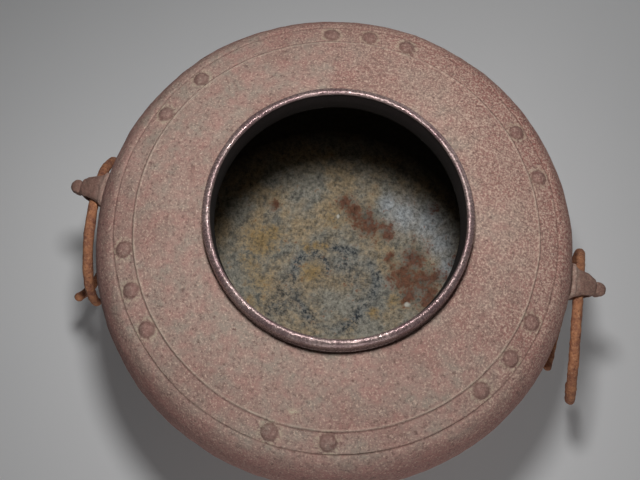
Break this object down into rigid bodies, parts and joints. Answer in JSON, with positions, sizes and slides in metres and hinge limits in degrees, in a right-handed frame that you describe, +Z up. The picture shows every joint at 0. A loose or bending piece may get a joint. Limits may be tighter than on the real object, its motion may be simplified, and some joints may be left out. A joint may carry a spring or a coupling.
{
  "type": "tea kettle",
  "caption": "Broad cast iron kettle with an open rolled-rim mouth, a banded shoulder with low bosses, pierced side lugs and loose open rings to lift it by.",
  "frame": {"origin": "centre of the flat face that the kettle stands on, on its vertical axis", "axes": "+Z up along the kettle's axis, +X out through the right lug and -X through the left one, +Y away from the viewer's side"},
  "size_m": [0.311, 0.2542, 0.176],
  "materials": {
    "sand_cast_iron": "rough sand casting with a brown rust bloom",
    "smooth_cast_iron": "smooth cast and rubbed, dark purple brown",
    "rusted_forged_iron": "forged bar with an even orange brown rust"
  },
  "bodies": {
    "kettle": {"kettle_body": "sand_cast_iron", "mouth_rim": "smooth_cast_iron", "left_lug": "sand_cast_iron", "right_lug": "sand_cast_iron"},
    "left_ring": {"left_ring": "rusted_forged_iron"},
    "right_ring": {"right_ring": "rusted_forged_iron"}
  },
  "joints": [
    {"name": "right_ring_swing", "type": "hinge", "parent": "kettle", "child": "right_ring", "pos_m": [0.13234, 0, 0.1272], "axis": [0, -1, 0], "range_deg": [-27, 185]},
    {"name": "left_ring_swing", "type": "hinge", "parent": "kettle", "child": "left_ring", "pos_m": [-0.13234, 0, 0.1272], "axis": [0, 1, 0], "range_deg": [-19, 190]}
  ]
}
